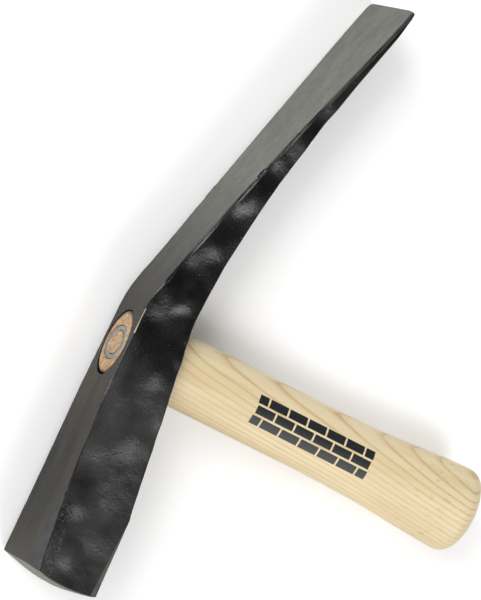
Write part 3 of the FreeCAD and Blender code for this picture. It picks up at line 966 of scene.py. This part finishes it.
def ash():
    """Tan growth rings on cream, with open pores, ready for whatever goes on top."""
    material, tree, shader, where = new_finish("oiled_ash", 0.5)
    axes = add(tree, "SeparateXYZ", {"Vector": where}).outputs
    across, up, near = axes["X"], axes["Y"], axes["Z"]
    wavy = noise(tree, where, 34 * MM, 3.0, (1, 5, 1))
    wander = sum_up(tree, "MULTIPLY_ADD", wavy, WANDER, -WANDER / 2)
    lean = sum_up(tree, "MULTIPLY_ADD", up, PITH_LEAN, across)
    from_pith_x = sum_up(tree, "ADD", sum_up(tree, "ADD", lean, PITH_ACROSS), wander)
    from_pith_z = sum_up(tree, "ADD", near, PITH_BEHIND)
    pith = add(tree, "CombineXYZ", {"X": from_pith_x, "Z": from_pith_z})
    radius = add(tree, "VectorMath", {0: pith.outputs[0]}, operation="LENGTH").outputs["Value"]
    rings = sum_up(tree, "FRACT", sum_up(tree, "MULTIPLY", radius, 1 / RING_PITCH))
    # Each ring darkens slowly to its line and then stops short.
    band = ramp(tree, rings, (0.0, 0.2), (0.2, 0.0), (0.68, 0.08), (0.84, 0.5), (0.92, 1.0),
                (0.97, 0.7), (1.0, 0.2))
    faint = noise(tree, where, 16 * MM, 2.0, (1, 6, 1))
    band = blend(tree, 1.0, band, ramp(tree, faint, (0.3, 0.35), (0.7, 1.0)), "MULTIPLY")
    colour = blend(tree, band, chart(203, 188, 153), chart(178, 148, 101))
    broad = noise(tree, where, 14 * MM, 3.0, (1, 7, 1))
    warm = ramp(tree, broad, (0.3, chart(224, 206, 182)), (0.6, 1.0))
    colour = blend(tree, 0.6, colour, warm, "MULTIPLY")
    pores = ramp(tree, noise(tree, where, 0.45 * MM, 1.0, (1, 26, 1)), (0.6, 0.0), (0.72, 1.0))
    pores = blend(tree, 1.0, pores, band, "MULTIPLY")
    colour = blend(tree, sum_up(tree, "MULTIPLY", pores, 0.6), colour, chart(140, 104, 64))
    return material, tree, shader, where, (across, up, near), colour, pores


# %% Grub, end grain and print
# Half the length and width of the oval ringed by the painted shade of the gap, and how deep the
# end grain's finish goes.
GAP_SHADE_HALF = (18.3 * MM, 12.7 * MM)
END_DEEP = 2.4 * MM
# The print is six bricks long and three courses high. Its corner lies this far below the top of the
# head and across from the eye's middle.
BRICK = 13 * MM
COURSE = 5.8 * MM
JOINT = 0.6 * MM
PRINT_CORNER = (163 * MM, 7.25 * MM)
PRINT_MIDDLE = (-124 * MM, 1.45 * MM)
PRINT_HALF = (39 * MM, 8.7 * MM)
NEAR_SIDE = 20 * MM


def printed_ash():
    """The ash with what use and its maker have put on it, and a painted shade round the end grain's
    rim.
    """
    material, tree, shader, where, (across, up, near), colour, pores = ash()
    # Grubby specks near the butt.
    grub = ramp(tree, noise(tree, where, 2.2 * MM, 3.0, (1, 2, 1)), (0.6, 0.0), (0.7, 1.0))
    down = sum_up(tree, "MULTIPLY", up, -1 / (HANDLE_LENGTH * MM))
    by_butt = ramp(tree, down, (0.76, 0.0), (0.86, 0.5), (0.93, 0.5), (0.98, 0.0))
    colour = blend(tree, blend(tree, 1.0, grub, by_butt, "MULTIPLY"), colour, chart(150, 135, 108))
    # The end grain: mottled, with short cracks, and a painted shade at its rim for the gap to the eye.
    oval = add(tree, "CombineXYZ", {"X": sum_up(tree, "MULTIPLY", across, 1 / GAP_SHADE_HALF[0]),
                                    "Z": sum_up(tree, "MULTIPLY", near, 1 / GAP_SHADE_HALF[1])})
    out = add(tree, "VectorMath", {0: oval.outputs[0]}, operation="LENGTH").outputs["Value"]
    out = sum_up(tree, "ADD", out, sum_up(tree, "MULTIPLY", noise(tree, where, 4 * MM, 2.0), 0.1))
    on_end = in_band(tree, up, 0.0, END_DEEP)
    painted_gap_shade = sum_up(tree, "MULTIPLY", ramp(tree, out, (0.9, 0.0), (1.0, 1.0)), on_end)
    mottled = ramp(tree, noise(tree, where, 3 * MM, 4.0, rough=0.7), (0.35, chart(104, 70, 40)),
                   (0.5, chart(144, 112, 76)), (0.65, chart(168, 138, 100)))
    crack = in_band(tree, noise(tree, where, 5 * MM, 3.0), 0.5, 0.012)
    broken = ramp(tree, noise(tree, where, 6 * MM), (0.5, 0.0), (0.55, 1.0))
    crack = sum_up(tree, "MULTIPLY", crack, broken)
    mottled = blend(tree, crack, mottled, chart(60, 40, 24))
    colour = blend(tree, sum_up(tree, "MULTIPLY", on_end, 0.9), colour, mottled)
    colour = blend(tree, painted_gap_shade, colour, chart(46, 34, 24))
    # The printed band of paving bond.
    flat = add(tree, "CombineXYZ", {"X": sum_up(tree, "ADD", up, PRINT_CORNER[0]),
                                    "Y": sum_up(tree, "ADD", across, PRINT_CORNER[1])})
    bond = add(tree, "TexBrick", {"Vector": flat.outputs[0], "Scale": 1.0, "Brick Width": BRICK,
                                  "Row Height": COURSE, "Mortar Size": JOINT,
                                  "Mortar Smooth": 0.1, "Bias": 0.0}).outputs["Fac"]
    ink = sum_up(tree, "SUBTRACT", 1.0, bond)
    for value, middle, half in ((up, PRINT_MIDDLE[0], PRINT_HALF[0]),
                                (across, PRINT_MIDDLE[1], PRINT_HALF[1]),
                                (near, NEAR_SIDE, NEAR_SIDE)):
        ink = sum_up(tree, "MULTIPLY", ink, in_band(tree, value, middle, half))
    colour = blend(tree, ink, colour, chart(6, 15, 16))
    tree.links.new(colour, shader.inputs["Base Color"])
    roughen(tree, shader, (sum_up(tree, "SUBTRACT", 1.0, pores), 0.05 * MM),
            (noise(tree, where, 0.7 * MM, 2.0, (1, 22, 1)), 0.04 * MM))
    return material


handle.data.materials.clear()
handle.data.materials.append(printed_ash())
carry_home(handle, "ash_handle", "handle")

# %% Mild steel of the wedge
wedge.data.materials.clear()
wedge.data.materials.append(
    bare_steel("wedge_mild_steel", chart(118, 120, 118), chart(150, 151, 146), 0.42, 0.7))
carry_home(wedge, "ring_wedge_steel", "ring_wedge")

# %% [markdown]
# ## Floor, light and camera
# The hammer lies on its side on a plain pale floor. Black lacquer shows only what it mirrors, so the
# part of the room that its flat side mirrors is kept dim, and a broad soft light stands to one side
# of it: the swellings that lean that way catch it, and the hollows stay black. The top faces mirror
# the pale floor.

# %% Floor
FLOOR_SIZE = 6.0
FLOOR_GAP = 0.1 * MM
FLOOR_GREY = 0.9
bpy.ops.object.select_all(action="DESELECT")
bpy.ops.mesh.primitive_plane_add(size=FLOOR_SIZE, location=(0, 0, cad_low.z - FLOOR_GAP))
floor = bpy.context.object
floor.name = "floor"
floor_paint = bpy.data.materials.new("pale_floor")
floor_paint.use_nodes = True
floor_shader = floor_paint.node_tree.nodes["Principled BSDF"]
floor_shader.inputs["Base Color"].default_value = (FLOOR_GREY, FLOOR_GREY, FLOOR_GREY, 1)
floor_shader.inputs["Roughness"].default_value = 0.9
floor.data.materials.append(floor_paint)


# %% Soft lights
def softbox(name, way, distance, size, watts):
    """A square light that looks at the hammer from that direction. Lengths are in metres."""
    data = bpy.data.lights.new(name, "AREA")
    data.shape = "SQUARE"
    data.size = size
    data.energy = watts
    lamp = bpy.data.objects.new(name, data)
    bpy.context.scene.collection.objects.link(lamp)
    way = Vector(way).normalized()
    lamp.location = way * distance
    lamp.rotation_euler = way.to_track_quat("Z", "Y").to_euler()


softbox("key softbox", way=(-0.46, -0.42, 0.78), distance=2.2, size=1.15, watts=24)
softbox("fill softbox", way=(0.25, 0.80, 0.55), distance=2.4, size=1.6, watts=44)

# %% A bright room with a dim patch
# The dim patch lies overhead, where the flat side looks.
DIM_WAY = Vector((0.25, -0.45, 0.86)).normalized()
ROOM_STRENGTH = 1.05

world = bpy.data.worlds.new("bright room with a dim patch")
world.use_nodes = True
room = world.node_tree
way = add(room, "TexCoord").outputs["Generated"]
towards = add(room, "VectorMath", {0: way, 1: DIM_WAY}, operation="DOT_PRODUCT").outputs["Value"]
glow = ramp(room, towards, (0.6, 1.0), (0.8, 0.35), (0.92, 0.05), (1.0, 0.03))
room.links.new(glow, room.nodes["Background"].inputs["Color"])
room.nodes["Background"].inputs["Strength"].default_value = ROOM_STRENGTH
bpy.context.scene.world = world
bpy.context.scene.view_settings.view_transform = "Standard"
print("lit by", len(bpy.data.lights), "softboxes and the room")

# %% Camera
# It looks down at the hammer's side from beyond the head, rolled so that the blade points up.
AIM = Vector((0.0011, 0.0642, EYE.z))
LOOK = Vector((0.055013, -0.460985, -0.885701)).normalized()
ROLL = math.radians(109.864)
DISTANCE = 1.9614
LENS = 222.78
SENSOR = 36

camera_data = bpy.data.cameras.new("camera")
camera = bpy.data.objects.new("camera", camera_data)
bpy.context.scene.collection.objects.link(camera)
camera.rotation_mode = "QUATERNION"
camera.rotation_quaternion = LOOK.to_track_quat("-Z", "Y") @ Quaternion((0, 0, 1), ROLL)
camera.location = AIM - LOOK * DISTANCE
camera_data.lens = LENS
camera_data.sensor_width = SENSOR
bpy.context.scene.camera = camera
